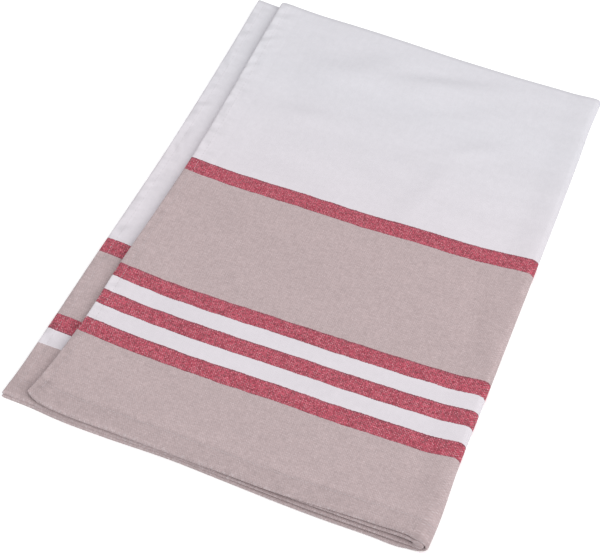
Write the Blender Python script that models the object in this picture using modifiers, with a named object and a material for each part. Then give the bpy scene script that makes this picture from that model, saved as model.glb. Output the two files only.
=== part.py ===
"""Tea towel: one woven cotton panel with four turned hems, folded in four and lying flat.

The panel is halved crosswise first, so that its two hemmed ends lie together at the front,
and then lengthwise, so that one side of the stack wraps round the other at the right. It is
modelled as one sheet: a flat grid is laid out over the panel, each of its points is carried
through both folds, and Solidify gives the sheet its thickness, with more at the hems.

Metres, +Z up. X runs across the folded towel to its lengthwise fold, Y from the hemmed ends
at the front to the crosswise fold at the back. The origin is the bottom centre of the box.
"""
import math

import bmesh
import bpy
import numpy as np

# The panel, laid flat.
TOWEL_LENGTH = 0.700
TOWEL_WIDTH = 0.483
CLOTH = 0.0010             # thickness of the woven panel
HEM = 0.0017               # thickness over a turned hem, which is three plies
SIDE_HEM_WIDTH = 0.0065
END_HEM_WIDTH = 0.0125
HEM_STEP = 0.0012          # width of the step down from a hem to the panel

# The pairs of layers that the crosswise fold makes, and the gap between the two pairs.
PAIR = 0.0026              # height of a pair: two plies and the air between them
HEM_PAIR = 0.0040          # height of a pair where its hems lie over each other
HEM_SETTLE = 0.014         # a pair settles from HEM_PAIR to PAIR over this far past a hem
FLAT_GAP = 0.0006          # between the pairs, away from the lengthwise fold
LEAST_GAP = 0.0003
FOLD_GAP_REACH = 0.110     # the gap inside the lengthwise fold closes over this far

# Where the two folds take up the panel: a straight run, the turn, and a straight run.
ALONG_TURN = math.pi * PAIR / 2
ALONG_RUN = (TOWEL_LENGTH - ALONG_TURN) / 2
ACROSS_TURN = 0.0075
FOLD_LINE = 0.2512         # the lengthwise fold line, from the lower stack's side hem
LOW_RUN = FOLD_LINE - ACROSS_TURN / 2
HIGH_RUN = TOWEL_WIDTH - LOW_RUN - ACROSS_TURN

# Outline, in millimetres from the left front corner: a row for each station along Y. Inside
# the lengthwise fold, fold_gap is the hollow's height and fold_slack the room, sideways,
# between the outer layer and the inner one.
SIDE_COLUMNS = ("station", "lower_left", "upper_left", "right_fold", "fold_gap", "fold_slack")
SIDES = (
    (0.0, -0.8, 13.2, 252.6, 3.2, 2.4),
    (14.0, 0.1, 15.8, 253.4, 3.1, 2.0),
    (50.0, 1.0, 19.4, 252.8, 2.7, 1.0),
    (110.0, 2.1, 20.5, 252.8, 2.3, 0.6),
    (200.0, 3.5, 23.4, 252.9, 2.0, 0.5),
    (290.0, 2.8, 21.8, 252.8, 1.9, 0.5),
    (350.0, 1.5, 20.1, 252.6, 1.8, 0.5),
)

# Ends, in millimetres: a row for each place across the panel, from the lower left edge,
# round the lengthwise fold and back to the upper left edge.
END_COLUMNS = ("across", "outer_end", "inner_end", "crosswise_fold")
ENDS = (
    (0.0, -1.6, -1.1, 351.8),
    (16.0, -1.7, -1.3, 351.6),
    (40.0, -2.9, -2.4, 351.2),
    (64.0, -2.6, -2.1, 350.8),
    (110.0, -1.1, -0.6, 350.1),
    (170.0, -2.0, -0.9, 349.4),
    (200.0, -1.9, -0.8, 349.2),
    (228.0, -1.1, 0.1, 348.9),
    (243.0, -1.1, 0.9, 348.7),
    (251.0, 0.2, 1.5, 348.6),
    (262.0, 3.0, 2.4, 348.6),
    (278.0, 2.6, 1.4, 348.9),
    (310.0, 1.0, 0.9, 349.2),
    (345.0, 0.9, 1.1, 349.8),
    (408.0, 0.0, 0.1, 352.2),
    (440.0, 0.0, 0.2, 353.2),
    (458.0, 0.3, 0.5, 353.7),
    (470.0, 1.6, 1.6, 354.1),
    (483.0, 3.8, 3.8, 354.4),
)

# Soft unevenness of the settled stack. Columns: waves per metre along X, waves per metre
# along Y, phase, height in millimetres.
WAVES = (
    (5.0, 2.2, 0.6, 0.22),
    (-3.1, 6.4, 2.1, 0.16),
    (8.3, 5.1, 4.0, 0.10),
)

# Grid lines over the panel, as distances in millimetres from a hem towards a fold.
STATIONS_ALONG = (0.0, 6.0, 12.4, 13.8, 20.0, 29.0, 55.0, 85.0, 115.0, 145.0, 175.0,
                  205.0, 235.0, 265.0, 295.0, 322.0, 338.0)
STATIONS_ACROSS = (0.0, 3.2, 6.4, 7.8, 13.0, 21.0, 45.0, 72.0, 99.0, 126.0, 153.0,
                   180.0, 205.0, 220.0)
ALONG_SEGMENTS = 8
ACROSS_SEGMENTS = 12


def column(table, names, name):
    """One named column of a table, in metres."""
    return np.array([row[names.index(name)] for row in table]) * 0.001


def curve(x, knots, values):
    """A smooth curve through the points of a table."""
    slopes = np.gradient(values, knots)
    x = np.clip(x, knots[0], knots[-1])
    i = np.clip(np.searchsorted(knots, x, side="right") - 1, 0, len(knots) - 2)
    span = knots[i + 1] - knots[i]
    u = (x - knots[i]) / span
    rise = values[i + 1] - values[i]
    start = slopes[i] * span
    finish = slopes[i + 1] * span
    bend = 3 * rise - 2 * start - finish + u * (start + finish - 2 * rise)
    return values[i] + u * (start + u * bend)


def side(name, y):
    """Where a side of the folded towel lies at a station along Y."""
    return curve(y, column(SIDES, SIDE_COLUMNS, "station"), column(SIDES, SIDE_COLUMNS, name))


def end(name, t):
    """Where an end of the folded towel lies, at a place across the panel."""
    return curve(t, column(ENDS, END_COLUMNS, "across"), column(ENDS, END_COLUMNS, name))


def smooth_step(x):
    """0 up to 0, 1 from 1 on, and smooth between."""
    x = np.clip(x, 0.0, 1.0)
    return x * x * (3.0 - 2.0 * x)


def waves(x, y):
    """Unevenness of the stack at a place, in metres, either side of zero."""
    total = 0.0
    for along_x, along_y, phase, height in WAVES:
        total = total + 0.001 * height * np.sin(2 * math.pi * (along_x * x + along_y * y) + phase)
    return total


def pair_height(from_side, from_end):
    """Height of a pair of layers at a distance from its side hem and from its end hem."""
    past_side = smooth_step((from_side - SIDE_HEM_WIDTH - HEM_STEP) / HEM_SETTLE)
    past_end = smooth_step((from_end - END_HEM_WIDTH - HEM_STEP) / HEM_SETTLE)
    return HEM_PAIR + (PAIR - HEM_PAIR) * past_side * past_end


def hem_share(s, t):
    """1 on a hem and 0 on the panel, for a point of the flat panel."""
    from_end = np.minimum(s, TOWEL_LENGTH - s)
    from_side = np.minimum(t, TOWEL_WIDTH - t)
    off_end = smooth_step((from_end - END_HEM_WIDTH) / HEM_STEP)
    off_side = smooth_step((from_side - SIDE_HEM_WIDTH) / HEM_STEP)
    return 1.0 - off_end * off_side


def crosswise(s, t):
    """Carry a point of the panel through the crosswise fold.

    Gives y, and the share of the pair's height at which the panel's face lies there: 1 on
    the outer layer, 0 on the inner one.
    """
    radius = pair_height(np.minimum(t, TOWEL_WIDTH - t), TOWEL_LENGTH) / 2
    turn_from = end("crosswise_fold", t) - radius
    outer = end("outer_end", t)
    inner = end("inner_end", t)
    y_outer = outer + s / ALONG_RUN * (turn_from - outer)
    y_inner = inner + (TOWEL_LENGTH - s) / ALONG_RUN * (turn_from - inner)
    angle = np.clip((s - ALONG_RUN) / ALONG_TURN, 0.0, 1.0) * math.pi
    y_turn = turn_from + radius * np.sin(angle)
    y = np.where(s < ALONG_RUN, y_outer, np.where(s > ALONG_RUN + ALONG_TURN, y_inner, y_turn))
    return y, (1.0 + np.cos(angle)) / 2


def fold(s, t):
    """Carry a point of the flat panel to its place on the face of the folded towel."""
    y, share = crosswise(s, t)
    from_end = y - np.minimum(end("outer_end", t), end("inner_end", t))
    low_left = side("lower_left", y)
    high_left = side("upper_left", y)
    gap = side("fold_gap", y)
    slack = side("fold_slack", y)
    fold_pair = pair_height(TOWEL_WIDTH, from_end)
    turn_from = side("right_fold", y) - fold_pair - gap / 2 - slack
    radius = gap / 2 + fold_pair * share
    angle = np.clip((t - LOW_RUN) / ACROSS_TURN, 0.0, 1.0) * math.pi - math.pi / 2

    on_low = t < LOW_RUN
    on_high = t > LOW_RUN + ACROSS_TURN
    x_low = low_left + t / LOW_RUN * (turn_from - low_left)
    x_high = high_left + (TOWEL_WIDTH - t) / HIGH_RUN * (turn_from - high_left)
    x_turn = turn_from + (radius + slack * share) * np.cos(angle)
    x = np.where(on_low, x_low, np.where(on_high, x_high, x_turn))

    low_pair = pair_height(x - low_left, from_end)
    high_pair = pair_height(x - high_left, from_end)
    closing = smooth_step((turn_from - x) / FOLD_GAP_REACH)
    flat_gap = np.maximum(FLAT_GAP + waves(x, y), LEAST_GAP)
    z_low = low_pair * (1.0 - share)
    z_high = low_pair + gap + (flat_gap - gap) * closing + high_pair * share
    z_turn = fold_pair + gap / 2 + radius * np.sin(angle)
    z = np.where(on_low, z_low, np.where(on_high, z_high, z_turn))
    return x, y, z


def grid_lines(stations, size, turn_from, turn, segments):
    """Grid lines over the panel's length or width: dense at the hems and through the turn."""
    near = [0.001 * station for station in stations]
    middle = [turn_from + turn * i / segments for i in range(segments + 1)]
    far = [size - line for line in reversed(near)]
    return np.array(near + middle + far)


def laid_out_panel():
    """A flat grid over the panel, as a mesh of the panel's own lengths and widths."""
    along = grid_lines(STATIONS_ALONG, TOWEL_LENGTH, ALONG_RUN, ALONG_TURN, ALONG_SEGMENTS)
    across = grid_lines(STATIONS_ACROSS, TOWEL_WIDTH, LOW_RUN, ACROSS_TURN, ACROSS_SEGMENTS)
    panel = bmesh.new()
    bmesh.ops.create_grid(panel, x_segments=len(across) - 1, y_segments=len(along) - 1, size=1.0)
    for vertex in panel.verts:
        column_index = round((vertex.co.x + 1.0) / 2.0 * (len(across) - 1))
        row_index = round((vertex.co.y + 1.0) / 2.0 * (len(along) - 1))
        vertex.co = (across[column_index], along[row_index], 0.0)
    bmesh.ops.reverse_faces(panel, faces=panel.faces[:])
    return panel


def folded_sheet(panel):
    """Carry the flat panel's points through the folds, and note which of them are hem."""
    flat = np.array([vertex.co[:] for vertex in panel.verts])
    t, s = flat[:, 0], flat[:, 1]
    folded = np.stack(fold(s, t), axis=1)
    middle = (folded.min(axis=0) + folded.max(axis=0)) / 2
    middle[2] = 0.0
    for vertex, place in zip(panel.verts, folded - middle):
        vertex.co = place
    return hem_share(s, t)


def cotton():
    """White cotton; the woven stripes are left to the finished look."""
    material = bpy.data.materials.new("towel_cotton")
    material.use_nodes = True
    shader = material.node_tree.nodes["Principled BSDF"]
    shader.inputs["Base Color"].default_value = (0.72, 0.70, 0.72, 1.0)
    shader.inputs["Roughness"].default_value = 0.9
    shader.inputs["Metallic"].default_value = 0.0
    return material


def towel(collection):
    """The folded towel: an open sheet, thickened towards its wrong side."""
    panel = laid_out_panel()
    hem = folded_sheet(panel)
    mesh = bpy.data.meshes.new("towel")
    panel.to_mesh(mesh)
    panel.free()
    mesh.materials.append(cotton())
    mesh.shade_smooth()
    piece = bpy.data.objects.new("towel", mesh)
    collection.objects.link(piece)

    group = piece.vertex_groups.new(name="hem")
    for index, share in enumerate(hem):
        group.add([index], float(share), "REPLACE")
    thicken = piece.modifiers.new("thickness", "SOLIDIFY")
    thicken.thickness = HEM
    thicken.offset = -1.0
    thicken.use_even_offset = True
    thicken.vertex_group = group.name
    thicken.thickness_vertex_group = CLOTH / HEM
    return piece


def main():
    for old in list(bpy.data.objects):
        bpy.data.objects.remove(old, do_unlink=True)
    collection = bpy.data.collections.new("tea_towel")
    bpy.context.scene.collection.children.link(collection)
    towel(collection)


main()
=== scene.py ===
"""Tea towel, folded in four and lying flat: its finished look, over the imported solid.

The towel is one woven cotton panel with four turned hems. Here it is a thin sheet on the same
folds as the solid, with rounded hems, sewing thread, soft creases and a woven cotton material
with weft stripes.

Metres, +Z up. The tables and the fold's own functions work from the left front corner of the
folded towel; cloth_places moves their result to the part's frame, whose origin lies under the
middle of the towel.
On the panel, s runs along its length from the outer end, and t across it from the side hem of
the lower stack.
"""
import math

import bpy
import numpy as np
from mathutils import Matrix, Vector


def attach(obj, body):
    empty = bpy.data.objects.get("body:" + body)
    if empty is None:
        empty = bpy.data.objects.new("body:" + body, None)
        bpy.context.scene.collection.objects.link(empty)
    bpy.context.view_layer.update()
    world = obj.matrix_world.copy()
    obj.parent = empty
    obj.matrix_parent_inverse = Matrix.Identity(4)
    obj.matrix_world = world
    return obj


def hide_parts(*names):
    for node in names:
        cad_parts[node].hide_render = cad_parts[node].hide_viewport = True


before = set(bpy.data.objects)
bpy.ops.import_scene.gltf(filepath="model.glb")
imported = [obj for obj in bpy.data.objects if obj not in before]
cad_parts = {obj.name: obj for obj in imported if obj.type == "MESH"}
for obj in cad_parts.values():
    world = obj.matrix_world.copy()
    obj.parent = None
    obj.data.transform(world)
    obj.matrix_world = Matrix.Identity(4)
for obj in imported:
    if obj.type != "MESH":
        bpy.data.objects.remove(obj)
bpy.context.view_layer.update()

MILLIMETRE = 0.001         # lengths in the tables below are in millimetres

# The panel, laid flat.
TOWEL_LENGTH = 0.700
TOWEL_WIDTH = 0.483
CLOTH = 0.0010             # thickness of the woven panel
HEM = 0.0018               # thickness over a turned hem, which is three plies
SIDE_HEM_WIDTH = 0.0065
END_HEM_WIDTH = 0.0125
HEM_STEP = 0.0012          # width of the step down from a hem to the panel
EDGE_REACH = 0.0014        # width over which a hem rounds down to its edge
PRESSED_REACH = 0.0010     # and how much more over the upper of two hems pressed together
BUNCH_ACROSS = 0.012       # reach of the inner end's bunched hem inside the lengthwise fold
BUNCH_WHOLE = 0.6 * END_HEM_WIDTH   # how far from the end it is bunched fully
BUNCH_GAP = 0.0004         # and how near it comes to the outer end's hem

# Where the two end hems of a pair are pressed into one rounded edge, across the panel, and
# how much fuller each is there.
PRESSED_LOW = (0.125, 0.165)
PRESSED_HIGH = (0.318, 0.350)
PRESSED_EXTRA = 0.00017

# The pairs of layers that the crosswise fold makes, and the gap between the two pairs.
PAIR = 0.0026              # height of two layers
HEM_PAIR = 0.0040          # and of two hems
HEM_SETTLE = 0.028         # a pair comes down from its hems over this distance
FLAT_GAP = 0.0006          # between the pairs, away from the lengthwise fold
LEAST_GAP = 0.0003         # where the waves bring them closest
FOLD_GAP_REACH = 0.018     # the gap inside the lengthwise fold closes over this distance

# Where the two folds take up the panel.
ALONG_TURN = math.pi * PAIR / 2     # length that the crosswise fold takes
ALONG_RUN = (TOWEL_LENGTH - ALONG_TURN) / 2
ACROSS_TURN = 0.0075       # width that the lengthwise fold takes
FOLD_LINE = 0.2512         # middle of the lengthwise fold
LOW_RUN = FOLD_LINE - ACROSS_TURN / 2
HIGH_RUN = TOWEL_WIDTH - LOW_RUN - ACROSS_TURN

# Outline, in millimetres, at stations along Y.
SIDE_COLUMNS = ("station", "lower_left", "upper_left", "right_fold", "fold_gap", "fold_slack")
SIDES = (
    (0.0, -1.0, 13.2, 253.3, 1.9, 5.2),
    (14.0, 0.1, 15.8, 253.8, 1.8, 3.6),
    (50.0, 1.1, 19.4, 252.6, 1.7, 0.9),
    (110.0, 2.2, 20.5, 252.8, 1.9, 0.6),
    (150.0, 3.2, 22.2, 252.7, 1.9, 0.6),
    (200.0, 4.1, 23.4, 252.7, 2.0, 0.5),
    (250.0, 3.9, 22.8, 252.6, 2.0, 0.5),
    (290.0, 3.4, 21.8, 252.3, 1.9, 0.5),
    (325.0, 2.6, 20.8, 251.6, 1.8, 0.5),
    (350.0, 1.9, 20.1, 252.2, 1.8, 0.5),
)

# Ends, in millimetres, at places across the panel.
END_COLUMNS = ("across", "outer_end", "inner_end", "crosswise_fold")
ENDS = (
    (0.0, -1.4, -0.4, 353.9),
    (16.0, -1.5, -0.5, 352.4),
    (40.0, -2.7, -1.7, 351.2),
    (64.0, -2.5, -1.5, 350.8),
    (110.0, -1.0, 0.0, 350.1),
    (140.0, -1.6, -0.6, 349.7),
    (170.0, -2.3, -0.9, 349.4),
    (200.0, -2.2, -0.8, 349.2),
    (228.0, -1.4, 0.0, 348.9),
    (242.0, -1.4, 0.3, 348.7),
    (247.0, -0.6, 0.6, 348.6),
    (252.0, 1.2, 1.2, 348.6),
    (256.0, 2.9, 1.6, 348.6),
    (262.0, 3.2, 1.8, 348.6),
    (278.0, 2.6, 1.3, 348.9),
    (296.0, 1.5, 0.9, 349.0),
    (312.0, 0.5, 0.7, 349.2),
    (330.0, -0.4, 0.6, 349.5),
    (356.0, -0.3, 0.5, 350.0),
    (390.0, -0.6, 0.1, 351.5),
    (428.0, -1.0, -0.4, 352.9),
    (460.0, -1.2, -0.6, 353.7),
    (470.0, -0.4, 0.0, 354.1),
    (477.0, 1.1, 1.3, 354.3),
    (480.0, 2.3, 2.4, 354.2),
    (483.0, 3.8, 3.8, 353.4),
)

# Soft unevenness of the settled stack. Columns: waves per metre along X, waves per metre
# along Y, phase, height in millimetres.
WAVES = (
    (5.0, 2.2, 0.6, 0.22),
    (-3.1, 6.4, 2.1, 0.16),
    (8.3, 5.1, 4.0, 0.10),
)

# Soft creases pressed into the stack: middle, direction from X in degrees,
# half length, half width and height, in millimetres. A negative height is a trough.
CREASE_COLUMNS = ("x", "y", "turn", "half_length", "half_width", "height")
CREASES = (
    (85.0, 302.0, 6.0, 30.0, 10.0, 1.50),
    (149.0, 318.0, 15.0, 36.0, 7.5, 2.80),
    (107.0, 320.0, 24.0, 25.0, 11.0, 2.40),
    (147.0, 331.5, 13.0, 46.0, 8.0, -1.30),
    (81.0, 260.0, 4.0, 24.0, 8.0, 2.20),
    (188.0, 272.0, 30.0, 24.0, 6.0, 1.30),
    (170.0, 295.0, 18.0, 30.0, 6.0, 0.90),
    (179.0, 239.0, -15.0, 30.0, 9.0, 1.30),
    (171.0, 226.0, 74.0, 30.0, 7.0, 0.80),
    (220.0, 338.0, -8.0, 14.0, 7.0, 0.80),
    (239.0, 155.0, 108.0, 42.0, 7.0, 0.60),
    (228.0, 151.0, 108.0, 42.0, 7.0, -0.50),
    (249.0, 36.0, 104.0, 28.0, 6.0, 0.45),
    (237.0, 33.0, 104.0, 28.0, 6.0, -0.50),
    (156.0, 140.0, -9.0, 45.0, 10.0, 0.70),
    (60.0, 150.0, 34.0, 34.0, 9.0, 0.50),
    (66.0, 96.0, 20.0, 40.0, 9.0, -0.50),
    (48.0, 34.0, -20.0, 24.0, 7.0, 0.60),
)
CREASE_FROM = 0.0016       # the creases begin at this height in the stack
CREASE_RISE = 0.0024       # and are whole this much higher

# Weft stripes: where each begins, in millimetres from the outer end of the panel, and its kind.
# Each runs up to the next.
STRIPES = (
    (0.0, "beige"),
    (51.5, "red"),
    (62.3, "bright"),
    (73.4, "red"),
    (84.1, "bright"),
    (94.9, "red"),
    (105.5, "beige"),
    (188.4, "red"),
    (199.5, "white"),
    (579.7, "red"),
    (590.6, "beige"),
    (640.6, "red"),
    (651.8, "bright"),
    (662.8, "beige"),
)
STRIPE_LINE = 0.0006       # darker line at each edge of a red stripe, its width on average
LINE_SHIFT = 0.00025       # and how much wider it is at the edge further in
PAST_ENDS = 10.0           # how far the first and last stripes run past the panel, in millimetres

# How far the stripes bow along the panel, in millimetres, at places across it: near the
# outer end, and further in.
BOW_COLUMNS = ("across", "near_end", "further_in")
BOW = (
    (0.0, 0.0, 0.0),
    (235.0, 0.0, 0.0),
    (254.0, 3.1, 3.1),
    (257.0, 2.3, 2.6),
    (260.0, 1.8, 2.5),
    (266.0, 1.2, 2.4),
    (280.0, 0.9, 1.4),
    (300.0, 0.9, 0.6),
    (320.0, 1.1, 0.6),
    (335.0, 1.0, 0.1),
    (350.0, 0.7, -1.0),
    (375.0, 0.2, -1.8),
    (405.0, -0.5, -2.3),
    (425.0, -0.7, -2.9),
    (450.0, -0.4, -3.2),
    (465.0, -0.8, -3.5),
    (475.0, -1.9, -4.3),
    (483.0, -3.9, -5.2),
)
BOW_NEAR = 0.079           # where the two are measured, from the outer end
BOW_FURTHER = 0.194
BOW_SHARES = (-0.4, 1.2)   # least and most of the change between the two that is taken
BOW_FADE_FROM = 0.30       # the bow begins to fade here
BOW_FADE = 0.10            # and is gone this much further

# Lines of the sheet's grid, as distances in millimetres from an edge of the panel.
EDGE_LINES = (0.0, 0.05, 0.18, 0.40, 0.75, 1.3, 2.0)
END_HEM_LINES = (3.0, 5.0, 7.0, 9.0, 10.2, 11.0, 11.6, 12.4, 13.0, 13.8, 15.5)
SIDE_HEM_LINES = (2.6, 3.8, 4.8, 5.4, 5.9, 6.5, 7.1, 7.8, 9.0)
FINE = 0.0025              # spacing of the lines where the cloth shows
COARSE = 0.0055            # and inside the folded towel
STRIP_REACH = 0.030        # how far from the lower stack's side hem the cloth shows
ALONG_SEGMENTS = 14        # round the crosswise fold
ACROSS_SEGMENTS = 20       # round the lengthwise fold
MIDDLE_LINES = (701, 484)  # lines a millimetre apart, along and across, that find the middle

# Sewing.
STITCH = 0.0026            # from one stitch to the next
STITCH_LENGTH = 0.0019
THREAD = 0.00016           # diameter
END_SEAM = 0.0110          # from the end of the panel to its seam
SIDE_SEAM = 0.0058
SEAM_INSET = 0.004         # from the ends of a seam to the edges of the panel
STITCH_RINGS = 7           # points along a stitch
THREAD_SIDES = 6           # and round it
THREAD_LIFT = 0.30         # rise of a stitch's middle over the cloth, in diameters
THREAD_DIP = 0.75          # how far its ends dive under that, in diameters
THREAD_TAPER = 0.8         # share of its cross-section that it loses at its ends
GROOVE = 0.00006           # how far a seam pulls the cloth down
GROOVE_WIDTH = 0.0009
NO_SEAM = 1.0              # a distance at which a seam does nothing

# The map to bake on, as shares of its picture: the face, and beside it the wrong side.
BAKE_EDGE = 0.01
BAKE_HEIGHT = 0.98
BAKE_FACE = 0.75
BAKE_WRONG_FROM = 0.78
BAKE_WRONG = 0.21


def column(table, names, name):
    """One named column of a table, in metres."""
    return np.array([row[names.index(name)] for row in table]) * MILLIMETRE


def curve(x, knots, values):
    """A smooth curve through the points of a table."""
    slopes = np.gradient(values, knots)
    x = np.clip(x, knots[0], knots[-1])
    i = np.clip(np.searchsorted(knots, x, side="right") - 1, 0, len(knots) - 2)
    span = knots[i + 1] - knots[i]
    u = (x - knots[i]) / span
    rise = values[i + 1] - values[i]
    start = slopes[i] * span
    finish = slopes[i + 1] * span
    bend = 3 * rise - 2 * start - finish + u * (start + finish - 2 * rise)
    return values[i] + u * (start + u * bend)


def side(name, y):
    """Where a side of the folded towel lies at a station along Y."""
    return curve(y, column(SIDES, SIDE_COLUMNS, "station"), column(SIDES, SIDE_COLUMNS, name))


def end(name, t):
    """Where an end of the folded towel lies, at a place across the panel."""
    return curve(t, column(ENDS, END_COLUMNS, "across"), column(ENDS, END_COLUMNS, name))


def smooth_step(x):
    """0 up to 0, 1 from 1 on, and smooth between."""
    x = np.clip(x, 0.0, 1.0)
    return x * x * (3.0 - 2.0 * x)


def waves(x, y):
    """Unevenness of the stack at a place, in metres, either side of zero."""
    total = 0.0
    for along_x, along_y, phase, height in WAVES:
        turn = 2 * math.pi * (along_x * x + along_y * y) + phase
        total = total + MILLIMETRE * height * np.sin(turn)
    return total


def pair_height(from_side, from_end):
    """Height of a pair of layers at a distance from its side hem and from its end hem."""
    past_side = smooth_step((from_side - SIDE_HEM_WIDTH - HEM_STEP) / HEM_SETTLE)
    past_end = smooth_step((from_end - END_HEM_WIDTH - HEM_STEP) / HEM_SETTLE)
    return HEM_PAIR + (PAIR - HEM_PAIR) * past_side * past_end


def hem_share(s, t):
    """1 on a hem and 0 on the panel, for a point of the flat panel."""
    from_end = np.minimum(s, TOWEL_LENGTH - s)
    from_side = np.minimum(t, TOWEL_WIDTH - t)
    off_end = smooth_step((from_end - END_HEM_WIDTH) / HEM_STEP)
    off_side = smooth_step((from_side - SIDE_HEM_WIDTH) / HEM_STEP)
    return 1.0 - off_end * off_side


def crosswise(s, t):
    """Carry a point of the panel through the crosswise fold.

    Gives y, and the share of the pair's height at which the panel's face lies there: 1 on
    the outer layer, 0 on the inner one.
    """
    radius = pair_height(np.minimum(t, TOWEL_WIDTH - t), TOWEL_LENGTH) / 2
    turn_from = end("crosswise_fold", t) - radius
    outer = end("outer_end", t)
    inner = end("inner_end", t)
    y_outer = outer + s / ALONG_RUN * (turn_from - outer)
    y_inner = inner + (TOWEL_LENGTH - s) / ALONG_RUN * (turn_from - inner)
    angle = np.clip((s - ALONG_RUN) / ALONG_TURN, 0.0, 1.0) * math.pi
    y_turn = turn_from + radius * np.sin(angle)
    y = np.where(s < ALONG_RUN, y_outer, np.where(s > ALONG_RUN + ALONG_TURN, y_inner, y_turn))
    return y, (1.0 + np.cos(angle)) / 2


def fold(s, t):
    """Carry a point of the flat panel to its place on the face of the folded towel."""
    y, share = crosswise(s, t)
    from_end = y - np.minimum(end("outer_end", t), end("inner_end", t))
    low_left = side("lower_left", y)
    high_left = side("upper_left", y)
    gap = side("fold_gap", y)
    slack = side("fold_slack", y)
    fold_pair = pair_height(TOWEL_WIDTH, from_end)
    turn_from = side("right_fold", y) - fold_pair - gap / 2 - slack
    radius = gap / 2 + fold_pair * share
    angle = np.clip((t - LOW_RUN) / ACROSS_TURN, 0.0, 1.0) * math.pi - math.pi / 2

    on_low = t < LOW_RUN
    on_high = t > LOW_RUN + ACROSS_TURN
    x_low = low_left + t / LOW_RUN * (turn_from - low_left)
    x_high = high_left + (TOWEL_WIDTH - t) / HIGH_RUN * (turn_from - high_left)
    x_turn = turn_from + (radius + slack * share) * np.cos(angle)
    x = np.where(on_low, x_low, np.where(on_high, x_high, x_turn))

    low_pair = pair_height(x - low_left, from_end)
    high_pair = pair_height(x - high_left, from_end)
    closing = smooth_step((turn_from - x) / FOLD_GAP_REACH)
    flat_gap = np.maximum(FLAT_GAP + waves(x, y), LEAST_GAP)
    z_low = low_pair * (1.0 - share)
    z_high = low_pair + gap + (flat_gap - gap) * closing + high_pair * share
    z_turn = fold_pair + gap / 2 + radius * np.sin(angle)
    z = np.where(on_low, z_low, np.where(on_high, z_high, z_turn))
    return x, y, z


def creases(x, y):
    """Height of the listed creases at a place, in metres."""
    total = np.zeros_like(x)
    for row in CREASES:
        crease = dict(zip(CREASE_COLUMNS, row))
        turn = math.radians(crease["turn"])
        off_x = x - MILLIMETRE * crease["x"]
        off_y = y - MILLIMETRE * crease["y"]
        along = off_x * math.cos(turn) + off_y * math.sin(turn)
        aside = off_y * math.cos(turn) - off_x * math.sin(turn)
        along = along / (MILLIMETRE * crease["half_length"])
        aside = aside / (MILLIMETRE * crease["half_width"])
        total = total + MILLIMETRE * crease["height"] * np.exp(-along ** 2 - aside ** 2)
    return total


def relief(x, y, z):
    """Lift of a point for the creases: all of it on top of the stack, none at the bottom."""
    share = smooth_step((z - CREASE_FROM) / CREASE_RISE)
    return creases(x, y) * share


def cloth_places(s, t):
    """Places of points of the flat panel on the face of the folded towel, in the part's frame."""
    x, y, z = fold(s, t)
    z = z + relief(x, y, z)
    return np.stack((x - MIDDLE[0], y - MIDDLE[1], z), axis=-1)


def fold_middle():
    """Middle of the folded towel's box, in X and Y, where the origin of the part's frame lies."""
    along = np.linspace(0, TOWEL_LENGTH, MIDDLE_LINES[0])
    across = np.linspace(0, TOWEL_WIDTH, MIDDLE_LINES[1])
    s, t = np.meshgrid(along, across)
    x, y, _ = fold(s, t)
    return (x.min() + x.max()) / 2, (y.min() + y.max()) / 2


MIDDLE = fold_middle()


def edge_distance(s, t):
    """Distance of a point of the panel from the panel's nearest edge."""
    return np.minimum(np.minimum(s, TOWEL_LENGTH - s), np.minimum(t, TOWEL_WIDTH - t))


def seam_distance(s, t):
    """Distance of a point of the panel from the nearest hem seam."""
    from_end = np.minimum(s, TOWEL_LENGTH - s)
    from_side = np.minimum(t, TOWEL_WIDTH - t)
    end_seam = np.where(from_side >= SIDE_SEAM, np.abs(from_end - END_SEAM), NO_SEAM)
    side_seam = np.where(from_end >= END_SEAM, np.abs(from_side - SIDE_SEAM), NO_SEAM)
    return np.minimum(end_seam, side_seam)


def normals(s, t):
    """Outward normals of the face at points of the flat panel."""
    step = 0.0002
    s0, s1 = np.clip(s - step, 0, TOWEL_LENGTH), np.clip(s + step, 0, TOWEL_LENGTH)
    t0, t1 = np.clip(t - step, 0, TOWEL_WIDTH), np.clip(t + step, 0, TOWEL_WIDTH)
    along = cloth_places(s1, t) - cloth_places(s0, t)
    across = cloth_places(s, t1) - cloth_places(s, t0)
    normal = np.cross(along, across)
    return normal / np.linalg.norm(normal, axis=-1, keepdims=True)


def pressed(s, t):
    """Where two end hems lie pressed together: 1 on the upper hem, -1 on the lower, 0 elsewhere."""
    low = 1.0 - smooth_step((t - PRESSED_LOW[0]) / (PRESSED_LOW[1] - PRESSED_LOW[0]))
    high = smooth_step((t - PRESSED_HIGH[0]) / (PRESSED_HIGH[1] - PRESSED_HIGH[0]))
    at_outer_end = s < TOWEL_LENGTH / 2
    from_end = np.minimum(s, TOWEL_LENGTH - s)
    from_side = np.minimum(t, TOWEL_WIDTH - t)
    on_end = smooth_step((from_side - from_end) / EDGE_REACH)
    return on_end * np.where(at_outer_end, high - low, low - high)


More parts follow.
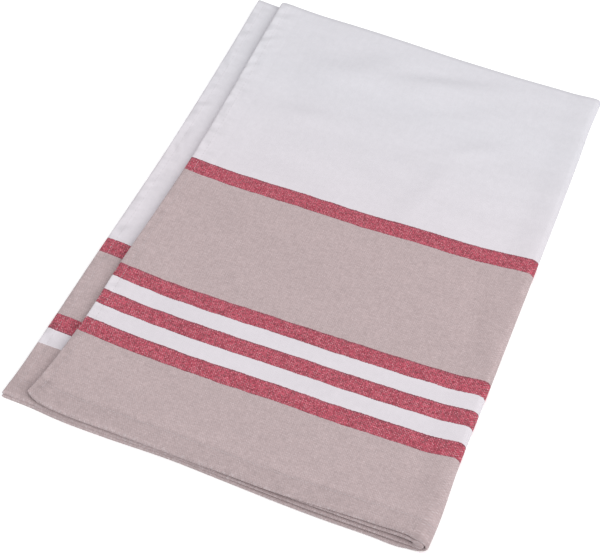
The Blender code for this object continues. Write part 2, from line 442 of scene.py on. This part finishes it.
def two_sides(s, t):
    """Places on the face and on the wrong side of the cloth, with rounded edges between."""
    press = pressed(s, t)
    hem = hem_share(s, t)
    thickness = CLOTH + (HEM - CLOTH) * hem + PRESSED_EXTRA * hem * np.abs(press)
    face = cloth_places(s, t)
    normal = normals(s, t)
    other_hem = cloth_places(TOWEL_LENGTH - s, t)
    room = np.sum((face - other_hem) * normal, axis=-1) - HEM - BUNCH_GAP
    thickness = thickness + bunching(s, t) * np.maximum(room - thickness, 0.0)
    reach = EDGE_REACH + PRESSED_REACH * np.maximum(press, 0.0)
    inward = np.clip(1.0 - edge_distance(s, t) / reach, 0.0, 1.0)
    inset = thickness * (1.0 - np.sqrt(1.0 - inward ** 2))
    groove = GROOVE * np.exp(-(seam_distance(s, t) / GROOVE_WIDTH) ** 2)
    face_sunk = inset * (1.0 + press) / 2 + groove
    wrong_sunk = inset * (1.0 - press) / 2 + groove
    return face - normal * face_sunk[..., None], face - normal * (thickness - wrong_sunk)[..., None]


def bunching(s, t):
    """1 where the inner end's hem is bent tight inside the lengthwise fold, 0 away from it."""
    round_fold = 1.0 - smooth_step(np.abs(t - LOW_RUN - ACROSS_TURN / 2) / BUNCH_ACROSS)
    from_end = smooth_step((TOWEL_LENGTH - s - BUNCH_WHOLE) / END_HEM_WIDTH)
    return round_fold * (1.0 - from_end)


def between(start, stop, spacing):
    """Even lines strictly between two others."""
    count = max(int(round((stop - start) / spacing)), 1)
    return [start + (stop - start) * i / count for i in range(1, count)]


def lines_along():
    """Grid lines over the panel's length, from its outer end."""
    near = [MILLIMETRE * line for line in EDGE_LINES + END_HEM_LINES]
    turn = [ALONG_RUN + ALONG_TURN * i / ALONG_SEGMENTS for i in range(ALONG_SEGMENTS + 1)]
    far = [TOWEL_LENGTH - line for line in reversed(near)]
    shown = between(near[-1], turn[0], FINE)
    hidden = between(turn[-1], far[0], COARSE)
    return np.array(near + shown + turn + hidden + far)


def lines_across():
    """Grid lines over the panel's width, from the lower stack's side hem."""
    near = [MILLIMETRE * line for line in EDGE_LINES + SIDE_HEM_LINES]
    strip = between(near[-1], STRIP_REACH, FINE) + [STRIP_REACH]
    hidden = between(STRIP_REACH, LOW_RUN, COARSE)
    turn = [LOW_RUN + ACROSS_TURN * i / ACROSS_SEGMENTS for i in range(ACROSS_SEGMENTS + 1)]
    far = [TOWEL_WIDTH - line for line in reversed(near)]
    shown = between(turn[-1], far[0], FINE)
    return np.array(near + strip + hidden + turn + shown + far)


def stripe_places(s, t):
    """Where points of the panel lie in the stripe pattern, with the stripes' bow taken off."""
    across = column(BOW, BOW_COLUMNS, "across")
    near = curve(t, across, column(BOW, BOW_COLUMNS, "near_end"))
    further = curve(t, across, column(BOW, BOW_COLUMNS, "further_in"))
    share = np.clip((s - BOW_NEAR) / (BOW_FURTHER - BOW_NEAR), *BOW_SHARES)
    fade = 1.0 - smooth_step((s - BOW_FADE_FROM) / BOW_FADE)
    return s - (near + (further - near) * share) * fade


def sheet_maps(s, t):
    """The sheet's maps by name, for the face and for the wrong side."""
    cloth = np.stack((t, stripe_places(s, t)), axis=-1)
    panel = np.stack((t, s), axis=-1)
    up = BAKE_EDGE + BAKE_HEIGHT * s / TOWEL_LENGTH
    bake_face = np.stack((BAKE_EDGE + BAKE_FACE * t / TOWEL_WIDTH, up), axis=-1)
    bake_wrong = np.stack((BAKE_WRONG_FROM + BAKE_WRONG * t / TOWEL_WIDTH, up), axis=-1)
    return (("cloth", cloth, cloth), ("panel", panel, panel), ("OFBake", bake_face, bake_wrong))


def quads(numbers):
    """The faces between the points of a grid, turned outward on the face of the cloth."""
    corners = (numbers[:-1, :-1], numbers[1:, :-1], numbers[1:, 1:], numbers[:-1, 1:])
    return np.stack([corner.ravel() for corner in corners], axis=1)


def sheet_mesh():
    """The towel as a closed thin sheet, with its cloth coordinates and a map to bake on."""
    s, t = np.meshgrid(lines_along(), lines_across(), indexing="ij")
    face, wrong = two_sides(s, t)
    edge = np.zeros(s.shape, bool)
    edge[[0, -1], :] = True
    edge[:, [0, -1]] = True

    number = np.arange(s.size).reshape(s.shape)
    wrong_number = number.copy()
    wrong_number[~edge] = s.size + np.arange((~edge).sum())
    places = np.concatenate((face.reshape(-1, 3), wrong[~edge]))
    faces = np.concatenate((quads(number), quads(wrong_number)[:, ::-1]))
    mesh = bpy.data.meshes.new("towel_sheet")
    mesh.from_pydata(places.tolist(), [], faces.tolist())
    mesh.shade_smooth()

    on_face = quads(number).ravel()
    on_wrong = quads(number)[:, ::-1].ravel()
    for name, of_face, of_wrong in sheet_maps(s, t):
        layer = mesh.uv_layers.new(name=name)
        values = (of_face.reshape(-1, 2)[on_face], of_wrong.reshape(-1, 2)[on_wrong])
        layer.data.foreach_set("uv", np.concatenate(values).astype(np.float32).ravel())
    mesh.uv_layers.active = mesh.uv_layers["OFBake"]
    mesh.uv_layers["OFBake"].active_render = True
    mesh.validate()
    return mesh


def seam_stitches(fixed, size, along_length):
    """Middle lines of a seam's stitches, as panel coordinates: stitches by points by (s, t).

    The seam lies at a fixed distance, and runs over the panel's size from edge to edge.
    """
    start, stop = SEAM_INSET, size - SEAM_INSET
    count = int((stop - start) / STITCH)
    middles = start + (np.arange(count) + 0.5) * (stop - start) / count
    steps = np.linspace(-0.5, 0.5, STITCH_RINGS) * STITCH_LENGTH
    moving = middles[:, None] + steps[None, :]
    still = np.full_like(moving, fixed)
    return np.stack((moving, still) if along_length else (still, moving), axis=-1)


def stitch_mesh():
    """All the sewing thread that lies on the face, as one mesh."""
    seams = [
        seam_stitches(SIDE_SEAM, TOWEL_LENGTH, True),
        seam_stitches(TOWEL_WIDTH - SIDE_SEAM, TOWEL_LENGTH, True),
        seam_stitches(END_SEAM, TOWEL_WIDTH, False),
        seam_stitches(TOWEL_LENGTH - END_SEAM, TOWEL_WIDTH, False),
    ]
    s, t = np.moveaxis(np.concatenate(seams), -1, 0)
    middle, _ = two_sides(s, t)
    up = normals(s, t)
    ahead = np.gradient(middle, axis=1)
    ahead /= np.linalg.norm(ahead, axis=-1, keepdims=True)
    aside = np.cross(up, ahead)
    along = np.linspace(-1.0, 1.0, STITCH_RINGS)
    lift = THREAD * (THREAD_LIFT - THREAD_DIP * along ** 4)
    radius = THREAD / 2 * np.sqrt(1.0 - THREAD_TAPER * along ** 6)
    turn = np.arange(THREAD_SIDES) / THREAD_SIDES * 2 * math.pi
    around = (np.cos(turn)[:, None] * aside[:, :, None, :]
              + np.sin(turn)[:, None] * up[:, :, None, :])
    places = (middle + up * lift[None, :, None])[:, :, None, :]
    places = places + around * radius[None, :, None, None]

    number = np.arange(s.size * THREAD_SIDES).reshape(*s.shape, THREAD_SIDES)
    following = np.roll(number, -1, axis=2)
    walls = np.stack((number[:, :-1], following[:, :-1], following[:, 1:], number[:, 1:]), axis=-1)
    faces = walls.reshape(-1, 4).tolist()
    faces += number[:, 0, ::-1].tolist()
    faces += number[:, -1, :].tolist()
    mesh = bpy.data.meshes.new("hem_stitches")
    mesh.from_pydata(places.reshape(-1, 3).tolist(), [], faces)
    mesh.shade_smooth()
    return mesh


def new_material(name):
    """A material with nodes."""
    material = bpy.data.materials.new(name)
    material.use_nodes = True
    return material


class Nodes:
    """Adds and links the nodes of one material. A value is a number, a colour or a socket."""

    def __init__(self, material):
        self.tree = material.node_tree
        self.shader = self.tree.nodes["Principled BSDF"]

    def add(self, kind, **settings):
        node = self.tree.nodes.new("ShaderNode" + kind)
        for name, value in settings.items():
            setattr(node, name, value)
        return node

    def put(self, socket, value):
        if isinstance(value, bpy.types.NodeSocket):
            self.tree.links.new(value, socket)
        else:
            socket.default_value = value

    def math(self, operation, first, second=0.0):
        node = self.add("Math", operation=operation)
        self.put(node.inputs[0], first)
        self.put(node.inputs[1], second)
        return node.outputs[0]

    def total(self, parts):
        """The sum of several values."""
        result = parts[0]
        for part in parts[1:]:
            result = self.math("ADD", result, part)
        return result

    def swing(self, chance, reach):
        """A chance from 0 to 1 made into a swing either side of zero."""
        return self.math("MULTIPLY", self.math("SUBTRACT", chance, 0.5), reach)

    def distance(self, first, second):
        """How far apart two values are."""
        return self.math("ABSOLUTE", self.math("SUBTRACT", first, second))

    def vector(self, x, y):
        node = self.add("CombineXYZ")
        self.put(node.inputs[0], x)
        self.put(node.inputs[1], y)
        return node.outputs[0]

    def split(self, kind, value):
        """The parts of a vector (kind XYZ) or of a colour (kind Color)."""
        node = self.add("Separate" + kind)
        self.put(node.inputs[0], value)
        return node.outputs

    def noise(self, vector, scale, detail):
        node = self.add("TexNoise", noise_dimensions="2D")
        self.put(node.inputs["Vector"], vector)
        self.put(node.inputs["Scale"], scale)
        self.put(node.inputs["Detail"], detail)
        return node.outputs["Fac"]

    def mix(self, share, first, second, blend="MIX"):
        node = self.add("Mix", data_type="RGBA", blend_type=blend)
        self.put(node.inputs["Factor"], share)
        self.put(node.inputs[6], first)
        self.put(node.inputs[7], second)
        return node.outputs[2]

    def weights(self, amounts, beige, red):
        """An amount for white, one for beige and one for red, by the shares of beige and red."""
        white, in_beige, in_red = amounts
        total = self.math("ADD", white, self.math("MULTIPLY", beige, in_beige - white))
        return self.math("ADD", total, self.math("MULTIPLY", red, in_red - white))

    def ramp(self, value, low, high, start=0.0, finish=1.0):
        """The start up to the low value, the finish from the high value on, and even between."""
        node = self.add("MapRange")
        for index, number in enumerate((value, low, high, start, finish)):
            self.put(node.inputs[index], number)
        return node.outputs[0]

    def near(self, value, reach, most=1.0):
        """The most up to where the reach begins, and nothing beyond its end."""
        return self.ramp(value, *reach, most, 0.0)

    def bump(self, height, strength, distance):
        """Give the shader a relief."""
        node = self.add("Bump")
        node.inputs["Strength"].default_value = strength
        node.inputs["Distance"].default_value = distance
        self.put(node.inputs["Height"], height)
        self.put(self.shader.inputs["Normal"], node.outputs[0])


def colour(red, green, blue):
    """A colour as it is seen on a screen, 0 to 255, in linear numbers."""
    shares = [value / 255 for value in (red, green, blue)]
    linear = [v / 12.92 if v <= 0.04045 else ((v + 0.055) / 1.055) ** 2.4 for v in shares]
    return (*linear, 1.0)


# Yarns.
WHITE_YARN = colour(215, 213, 218)
BRIGHT_YARN = colour(218, 212, 217)
WARP_YARN = colour(210, 200, 202)
BEIGE_YARN = colour(181, 162, 162)
RED_YARN = colour(168, 64, 82)
EDGE_LINE_COLOUR = colour(142, 84, 94)
DARK_THREAD = colour(196, 188, 191)
PALE_THREAD = colour(212, 206, 209)
TWIST_SCALE = 2600.0       # of the light and dark in the sewing thread
COTTON_ROUGH = (0.80, 0.92)
THREAD_ROUGH = (0.70, 0.85)
WARP_PITCH = 0.00072
WEFT_PITCH = 0.00078

# How far threads wander, and the scale of the noise that they follow.
WANDER = 0.0008
WANDER_SCALE = 90.0
TREMBLE = 0.0005
TREMBLE_SCALE = 1500.0
STREAK = 0.09              # width of a streak in the yarn over its length
STREAK_SCALE = 1500.0

# Colour: the share of the pale warp that shows in a coloured weft, at least and at most, and
# other shares of one yarn's colour in another's.
WARP_OVER = (-0.9, 0.3)    # the warp shows fully below the first height, and not above the second
WARP_IN_RED = (0.12, 0.44)
WARP_IN_BEIGE = (0.20, 0.50)
LINE_SHARE = 0.8           # of the darker colour in the lines at the edges of a red stripe
WARM_SHARE = 0.9           # of the bright yarn in the white near the stripes
WARM_REACH = (0.20, 0.29)
WORN_SHARE = 0.45          # of the pale warp at the panel's edges
WORN_REACH = (0.0003, 0.0016)
WORN_SCALE = 700.0
WORN_PATCHES = (0.50, 0.70)

# Light and dark, as shares of the light in white, in beige and in red.
CROSSING_LIGHT = (0.015, 0.14, 0.72)
WEFT_LIGHT = (0.03, 0.19, 0.42)
WARP_LIGHT = (0.04, 0.14, 0.16)
# Painted light and shade of the weave: lighter where a thread rides over, darker where it dips
# under.
WEAVE_LIGHT_AND_SHADE = (0.0, 0.012, 0.07)
MOTTLE_LIGHT = (0.065, 0.09, 0.03)
MOTTLE_SCALE = 260.0
CLOUD_LIGHT = (0.985, 1.015)
CLOUD_SCALE = 55.0
CLOUD_STRETCH = 0.35       # a cloud's length along the panel over its width across

# Darker places, as shares of the light, and how far they reach. A negative share is paler. At the
# nook, the folds and the end edges these are painted shade, and painted light towards a corner.
HEM_SHADE = 0.0130         # about how far the darker tone of an end hem reaches
HEM_WANDER = 0.002         # and how far that wanders
HEM_WANDER_SCALE = 130.0
END_HEM_DARK = 0.062
END_HEM_REACH = (HEM_SHADE - 0.001, HEM_SHADE + 0.0005)
BLOTCH_DARK = 0.020        # more of it, in blotches
BLOTCH_SCALE = 75.0
BLOTCH_PATCHES = (0.50, 0.72)
BESIDE_END_DARK = -0.010
BESIDE_END_REACH = (HEM_SHADE + 0.0005, HEM_SHADE + 0.0025)
SEAM_DARK = 0.028
SEAM_REACH = (0.0004, 0.0014)
END_EDGE_PAINTED_LIGHT_AND_SHADE = (-0.09, 0.10)       # painted light towards a corner, and painted shade towards the lengthwise fold
END_EDGE_REACH = (0.0010, 0.0028)
CORNER_REACH = (0.04, 0.22)
SIDE_HEM_DARK = (-0.022, 0.008, 0.008)      # in white, in beige and in red
SIDE_HEM_REACH = (SIDE_HEM_WIDTH, SIDE_HEM_WIDTH + HEM_STEP)
BESIDE_SIDE_DARK = 0.016
BESIDE_SIDE_REACH = (2.0 * SIDE_HEM_WIDTH, 4.0 * SIDE_HEM_WIDTH)
NOOK_PAINTED_SHADE = 0.045          # painted shade on the lower stack, beside the upper one
NOOK_BEGIN = (0.008, 0.0145)
NOOK_END = (0.04, 0.05)
# Painted shade along the crosswise fold, where its rounding turns away from the light.
CROSSWISE_PAINTED_SHADE = 0.12
CROSSWISE_REACH = (0.002, 0.0045)
LENGTHWISE_PAINTED_SHADE = 0.05     # painted shade along the lengthwise fold, in white only
LENGTHWISE_REACH = (0.0008, 0.0030)

# Relief of the weave.
OVER_RISE = 0.5
STREAK_RISE = 0.8
WARP_STREAK_RISE = 0.6     # of a streak in the warp, against one in the weft
PUCKER_RISE = 70.0         # of the puckers that a side seam makes
PUCKER_REACH = (SIDE_HEM_WIDTH, 2.5 * SIDE_HEM_WIDTH)
PUCKER_SCALE = 150.0
PUCKER_STRETCH = 0.7       # a pucker's length along the panel over its width across
MIDDLE_NOISE = (0.3, 0.7)  # most of a noise lies between these


def bands(nodes, place, kind, margin=0.0, shift=0.0):
    """1 in the stripes of one kind, less a margin at each edge and shifted to the outer end."""
    starts = [-PAST_ENDS] + [start for start, _ in STRIPES[1:]]
    finishes = starts[1:] + [TOWEL_LENGTH / MILLIMETRE + PAST_ENDS]
    parts = []
    for start, (_, of_kind), finish in zip(starts, STRIPES, finishes):
        if of_kind == kind:
            inside = nodes.add("Math", operation="COMPARE")
            nodes.put(inside.inputs[0], place)
            nodes.put(inside.inputs[1], MILLIMETRE / 2 * (start + finish) - shift)
            nodes.put(inside.inputs[2], MILLIMETRE / 2 * (finish - start) - margin)
            parts.append(inside.outputs[0])
    return nodes.total(parts)


def nearer_edge(nodes, place, size):
    """Distance from the nearer of two opposite edges of the panel."""
    return nodes.math("SUBTRACT", size / 2, nodes.distance(place, size / 2))


class ClothPlace:
    """Shader values at a place on the cloth: where it is, its stripe and its threads."""

    def __init__(self, nodes):
        self.cloth = nodes.add("UVMap", uv_map="cloth").outputs[0]
        self.panel = nodes.add("UVMap", uv_map="panel").outputs[0]
        self.across, self.along, _ = nodes.split("XYZ", self.cloth)
        panel_t, panel_s, _ = nodes.split("XYZ", self.panel)
        self.from_side = nearer_edge(nodes, panel_t, TOWEL_WIDTH)
        self.from_end = nearer_edge(nodes, panel_s, TOWEL_LENGTH)
        self.wander = nodes.swing(nodes.noise(self.cloth, WANDER_SCALE, detail=1.0), WANDER)
        self.find_stripe(nodes)
        self.find_threads(nodes)

    def find_stripe(self, nodes):
        """Shares of each kind of weft. Threads wander a little, so that no stripe is ruled."""
        tremble = nodes.swing(nodes.noise(self.cloth, TREMBLE_SCALE, detail=0.0), TREMBLE)
        place = nodes.total((self.along, self.wander, tremble))
        self.red = bands(nodes, place, "red")
        self.beige = bands(nodes, place, "beige")
        self.bright = bands(nodes, place, "bright")
        inside_lines = bands(nodes, place, "red", STRIPE_LINE, LINE_SHIFT)
        self.line = nodes.math("SUBTRACT", self.red, inside_lines)

    def find_threads(self, nodes):
        """Which thread goes over where, and chance at each crossing and along both threads."""
        warp = nodes.math("DIVIDE", nodes.math("ADD", self.across, self.wander), WARP_PITCH)
        weft = nodes.math("DIVIDE", nodes.math("ADD", self.along, self.wander), WEFT_PITCH)
        over_warp = nodes.math("SINE", nodes.math("MULTIPLY", warp, math.pi))
        over_weft = nodes.math("SINE", nodes.math("MULTIPLY", weft, math.pi))
        self.over = nodes.math("MULTIPLY", over_warp, over_weft)
        chance = nodes.add("TexWhiteNoise", noise_dimensions="2D")
        crossing = nodes.vector(nodes.math("FLOOR", warp), nodes.math("FLOOR", weft))
        nodes.put(chance.inputs["Vector"], crossing)
        self.chance = nodes.split("Color", chance.outputs["Color"])
        along_weft = nodes.vector(nodes.math("MULTIPLY", self.across, STREAK), self.along)
        along_warp = nodes.vector(self.across, nodes.math("MULTIPLY", self.along, STREAK))
        self.weft_streak = nodes.noise(along_weft, STREAK_SCALE, detail=1.0)
        self.warp_streak = nodes.noise(along_warp, STREAK_SCALE, detail=1.0)


def yarn_tone(nodes, here):
    """Colour of the yarns. The pale warp shows where it goes over a coloured weft."""
    warp_shows = nodes.near(here.over, WARP_OVER)
    coloured = []
    for yarn, warp_in_it in ((RED_YARN, WARP_IN_RED), (BEIGE_YARN, WARP_IN_BEIGE)):
        share = nodes.ramp(here.chance[0], 0.0, 1.0, *warp_in_it)
        coloured.append(nodes.mix(nodes.math("MULTIPLY", warp_shows, share), yarn, WARP_YARN))
    in_red, in_beige = coloured
    in_red = nodes.mix(nodes.math("MULTIPLY", here.line, LINE_SHARE), in_red, EDGE_LINE_COLOUR)
    near_stripes = nodes.near(here.from_end, WARM_REACH, WARM_SHARE)
    warmth = nodes.math("MAXIMUM", here.bright, near_stripes)
    tone = nodes.mix(warmth, WHITE_YARN, BRIGHT_YARN)
    tone = nodes.mix(here.beige, tone, in_beige)
    tone = nodes.mix(here.red, tone, in_red)
    from_edge = nodes.math("MINIMUM", here.from_side, here.from_end)
    patches = nodes.ramp(nodes.noise(here.panel, WORN_SCALE, detail=1.0), *WORN_PATCHES)
    worn = nodes.math("MULTIPLY", nodes.near(from_edge, WORN_REACH, WORN_SHARE), patches)
    return nodes.mix(worn, tone, WARP_YARN)


def yarn_light(nodes, here):
    """Light and dark of crossings and along the yarns, most in red and least in white, with painted
    light on threads that ride over and painted shade on threads that dip under.
    """
    stretched = nodes.vector(nodes.math("MULTIPLY", here.across, CLOUD_STRETCH), here.along)
    cloud = nodes.noise(stretched, CLOUD_SCALE, detail=2.0)
    weave_shade_weights = nodes.weights(WEAVE_LIGHT_AND_SHADE, here.beige, here.red)
    parts = [
        nodes.ramp(cloud, *MIDDLE_NOISE, *CLOUD_LIGHT),
        nodes.math("MULTIPLY", here.over, weave_shade_weights),
    ]
    swings = (
        (here.chance[1], CROSSING_LIGHT),
        (here.weft_streak, WEFT_LIGHT),
        (here.warp_streak, WARP_LIGHT),
        (nodes.noise(here.cloth, MOTTLE_SCALE, detail=2.0), MOTTLE_LIGHT),
    )
    for chance, amounts in swings:
        parts.append(nodes.swing(chance, nodes.weights(amounts, here.beige, here.red)))
    return nodes.total(parts)


def hem_tones_and_painted_shade(nodes, here):
    """How much darker the hems, seams, edges, folds and nook are, as a share of the light; at the
    nook, the folds and the end edges this is painted shade, and painted light towards a corner.
    """
    uneven = nodes.swing(nodes.noise(here.panel, HEM_WANDER_SCALE, detail=1.0), HEM_WANDER)
    from_end = nodes.math("ADD", here.from_end, uneven)
    end_hem = nodes.near(from_end, END_HEM_REACH)
    beside_end = nodes.math("SUBTRACT", nodes.near(from_end, BESIDE_END_REACH), end_hem)
    blotch = nodes.noise(here.panel, BLOTCH_SCALE, detail=2.0)
    blotch = nodes.ramp(blotch, *BLOTCH_PATCHES, 0.0, BLOTCH_DARK)
    side_hem = nodes.near(here.from_side, SIDE_HEM_REACH)
    beside_side = nodes.near(here.from_side, BESIDE_SIDE_REACH)
    beside_side = nodes.math("SUBTRACT", beside_side, side_hem)
    side_weights = nodes.weights(SIDE_HEM_DARK, here.beige, here.red)
    # Painted shade on the lower stack, where the upper stack shades it.
    before_nook_end = nodes.near(here.across, NOOK_END)
    nook = nodes.math("MULTIPLY", nodes.ramp(here.across, *NOOK_BEGIN), before_nook_end)
    # Painted light and shade on the faces of the end edges: lighter towards a corner, darker
    # towards the lengthwise fold.
    end_edge = nodes.near(here.from_end, END_EDGE_REACH)
    edge_light_and_shade = nodes.ramp(here.from_side, *CORNER_REACH, *END_EDGE_PAINTED_LIGHT_AND_SHADE)
    off_seam = nodes.distance(from_end, END_SEAM)
    # Painted shade along the crosswise fold.
    off_crosswise = nodes.distance(here.from_end, TOWEL_LENGTH / 2)
    off_lengthwise = nodes.distance(here.across, FOLD_LINE)
    # Painted shade along the lengthwise fold, in white only.
    lengthwise = nodes.near(off_lengthwise, LENGTHWISE_REACH, LENGTHWISE_PAINTED_SHADE)
    white = nodes.math("SUBTRACT", 1.0, nodes.math("ADD", here.beige, here.red))
    return nodes.total((
        nodes.math("MULTIPLY", end_hem, nodes.math("ADD", blotch, END_HEM_DARK)),
        nodes.math("MULTIPLY", beside_end, BESIDE_END_DARK),
        nodes.math("MULTIPLY", side_hem, side_weights),
        nodes.math("MULTIPLY", beside_side, BESIDE_SIDE_DARK),
        nodes.math("MULTIPLY", nook, NOOK_PAINTED_SHADE),
        nodes.math("MULTIPLY", end_edge, edge_light_and_shade),
        nodes.math("MULTIPLY", lengthwise, white),
        nodes.near(off_seam, SEAM_REACH, SEAM_DARK),
        nodes.near(off_crosswise, CROSSWISE_REACH, CROSSWISE_PAINTED_SHADE),
    ))


def weave_relief(nodes, here):
    """Threads over and under each other, uneven yarn, and puckers beside the side hems."""
    warp_streak = nodes.math("MULTIPLY", here.warp_streak, WARP_STREAK_RISE)
    streaks = nodes.math("ADD", here.weft_streak, warp_streak)
    stretched = nodes.vector(nodes.math("MULTIPLY", here.from_side, PUCKER_STRETCH), here.along)
    pucker = nodes.noise(stretched, PUCKER_SCALE, detail=0.0)
    near_side_hem = nodes.near(here.from_side, PUCKER_REACH, PUCKER_RISE)
    return nodes.total((
        nodes.math("MULTIPLY", here.over, OVER_RISE),
        nodes.math("MULTIPLY", streaks, STREAK_RISE),
        nodes.math("MULTIPLY", pucker, near_side_hem),
    ))


def woven_cotton():
    """Plain-woven cotton with weft stripes; red and beige weft over a pale warp."""
    material = new_material("woven_cotton")
    nodes = Nodes(material)
    here = ClothPlace(nodes)
    light = nodes.math("SUBTRACT", yarn_light(nodes, here), hem_tones_and_painted_shade(nodes, here))
    shade = nodes.add("CombineColor")
    for socket in shade.inputs[:3]:
        nodes.put(socket, light)
    tone = nodes.mix(1.0, yarn_tone(nodes, here), shade.outputs[0], "MULTIPLY")
    nodes.put(nodes.shader.inputs["Base Color"], tone)
    rough = nodes.ramp(here.weft_streak, *MIDDLE_NOISE, *COTTON_ROUGH)
    nodes.put(nodes.shader.inputs["Roughness"], rough)
    nodes.bump(weave_relief(nodes, here), strength=0.35, distance=0.00012)
    nodes.shader.inputs["Specular IOR Level"].default_value = 0.15
    nodes.shader.inputs["Sheen Weight"].default_value = 0.05
    nodes.shader.inputs["Sheen Roughness"].default_value = 0.5
    return material


def sewing_thread():
    """Twisted cotton thread."""
    material = new_material("sewing_thread")
    nodes = Nodes(material)
    place = nodes.add("TexCoord").outputs["Object"]
    twist = nodes.noise(place, TWIST_SCALE, detail=1.0)
    tone = nodes.mix(nodes.ramp(twist, *MIDDLE_NOISE), DARK_THREAD, PALE_THREAD)
    nodes.put(nodes.shader.inputs["Base Color"], tone)
    rough = nodes.ramp(twist, *MIDDLE_NOISE, *THREAD_ROUGH)
    nodes.put(nodes.shader.inputs["Roughness"], rough)
    nodes.bump(twist, strength=0.4, distance=0.00005)
    return material


def place_piece(name, mesh, material):
    """Link a mesh as a piece that rides on the towel's one body."""
    piece = bpy.data.objects.new(name, mesh)
    bpy.context.scene.collection.objects.link(piece)
    mesh.materials.append(material)
    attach(piece, "root")
    return piece


FLOOR_REACH = 4.0
FLOOR_DROP = 0.0002        # from the part's lowest level down to the floor
FLOOR_COLOUR = (0.96, 0.96, 0.96, 1.0)
FLOOR_GLOW = 0.2

# Soft boxes: name, place, size and power.
SOFT_BOXES = (
    ("top_light", (0.2, 0.1, 2.4), 3.0, 36.0),
    ("key_light", (1.8, -0.8, 1.6), 1.6, 24.0),
)
SURROUND_COLOUR = (0.97, 0.98, 1.0, 1.0)
SURROUND_STRENGTH = 0.46

# The photograph's view: degrees to the right of the front and above level, and metres.
VIEW_AZIMUTH = 22.741
VIEW_ELEVATION = 53.554
VIEW_DISTANCE = 0.813
VIEW_TARGET = (0.122, 0.142)
PICTURE_WIDTH = 600.0      # pixels
FOCAL_LENGTH = 1346.0      # pixels


def floor():
    """A plain pale floor just under the towel."""
    mesh = bpy.data.meshes.new("floor")
    signs = ((-1, -1), (1, -1), (1, 1), (-1, 1))
    corners = [(FLOOR_REACH * x, FLOOR_REACH * y, 0.0) for x, y in signs]
    mesh.from_pydata(corners, [], [(0, 1, 2, 3)])
    material = new_material("floor")
    shader = material.node_tree.nodes["Principled BSDF"]
    shader.inputs["Base Color"].default_value = FLOOR_COLOUR
    shader.inputs["Roughness"].default_value = 0.9
    shader.inputs["Specular IOR Level"].default_value = 0.0
    shader.inputs["Emission Color"].default_value = (1.0, 1.0, 1.0, 1.0)
    shader.inputs["Emission Strength"].default_value = FLOOR_GLOW
    mesh.materials.append(material)
    plane = bpy.data.objects.new("floor", mesh)
    plane.location = (0.0, 0.0, -FLOOR_DROP)
    bpy.context.scene.collection.objects.link(plane)


def lights():
    """Large soft boxes and an even pale surround."""
    for name, place, size, power in SOFT_BOXES:
        lamp = bpy.data.lights.new(name, "AREA")
        lamp.shape = "SQUARE"
        lamp.size = size
        lamp.energy = power
        box = bpy.data.objects.new(name, lamp)
        box.location = place
        box.rotation_euler = Vector(place).to_track_quat("Z", "Y").to_euler()
        bpy.context.scene.collection.objects.link(box)
    world = bpy.data.worlds.new("surround")
    world.use_nodes = True
    surround = world.node_tree.nodes["Background"]
    surround.inputs["Color"].default_value = SURROUND_COLOUR
    surround.inputs["Strength"].default_value = SURROUND_STRENGTH
    bpy.context.scene.world = world
    bpy.context.scene.view_settings.view_transform = "Standard"
    bpy.context.scene.view_settings.look = "None"


def camera():
    """The camera, without roll or depth of field."""
    azimuth, elevation = math.radians(VIEW_AZIMUTH), math.radians(VIEW_ELEVATION)
    back = Vector((
        math.sin(azimuth) * math.cos(elevation),
        -math.cos(azimuth) * math.cos(elevation),
        math.sin(elevation),
    ))
    target = Vector((VIEW_TARGET[0] - MIDDLE[0], VIEW_TARGET[1] - MIDDLE[1], 0.0))
    data = bpy.data.cameras.new("camera")
    data.sensor_width = 36.0
    data.lens = data.sensor_width * FOCAL_LENGTH / PICTURE_WIDTH
    data.clip_start = 0.01
    view = bpy.data.objects.new("camera", data)
    view.location = target + back * VIEW_DISTANCE
    view.rotation_euler = back.to_track_quat("Z", "Y").to_euler()
    bpy.context.scene.collection.objects.link(view)
    bpy.context.scene.camera = view


towel = place_piece("towel_sheet", sheet_mesh(), woven_cotton())
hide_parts("towel")
stitches = place_piece("hem_stitches", stitch_mesh(), sewing_thread())
floor()
lights()
camera()

bpy.context.view_layer.update()
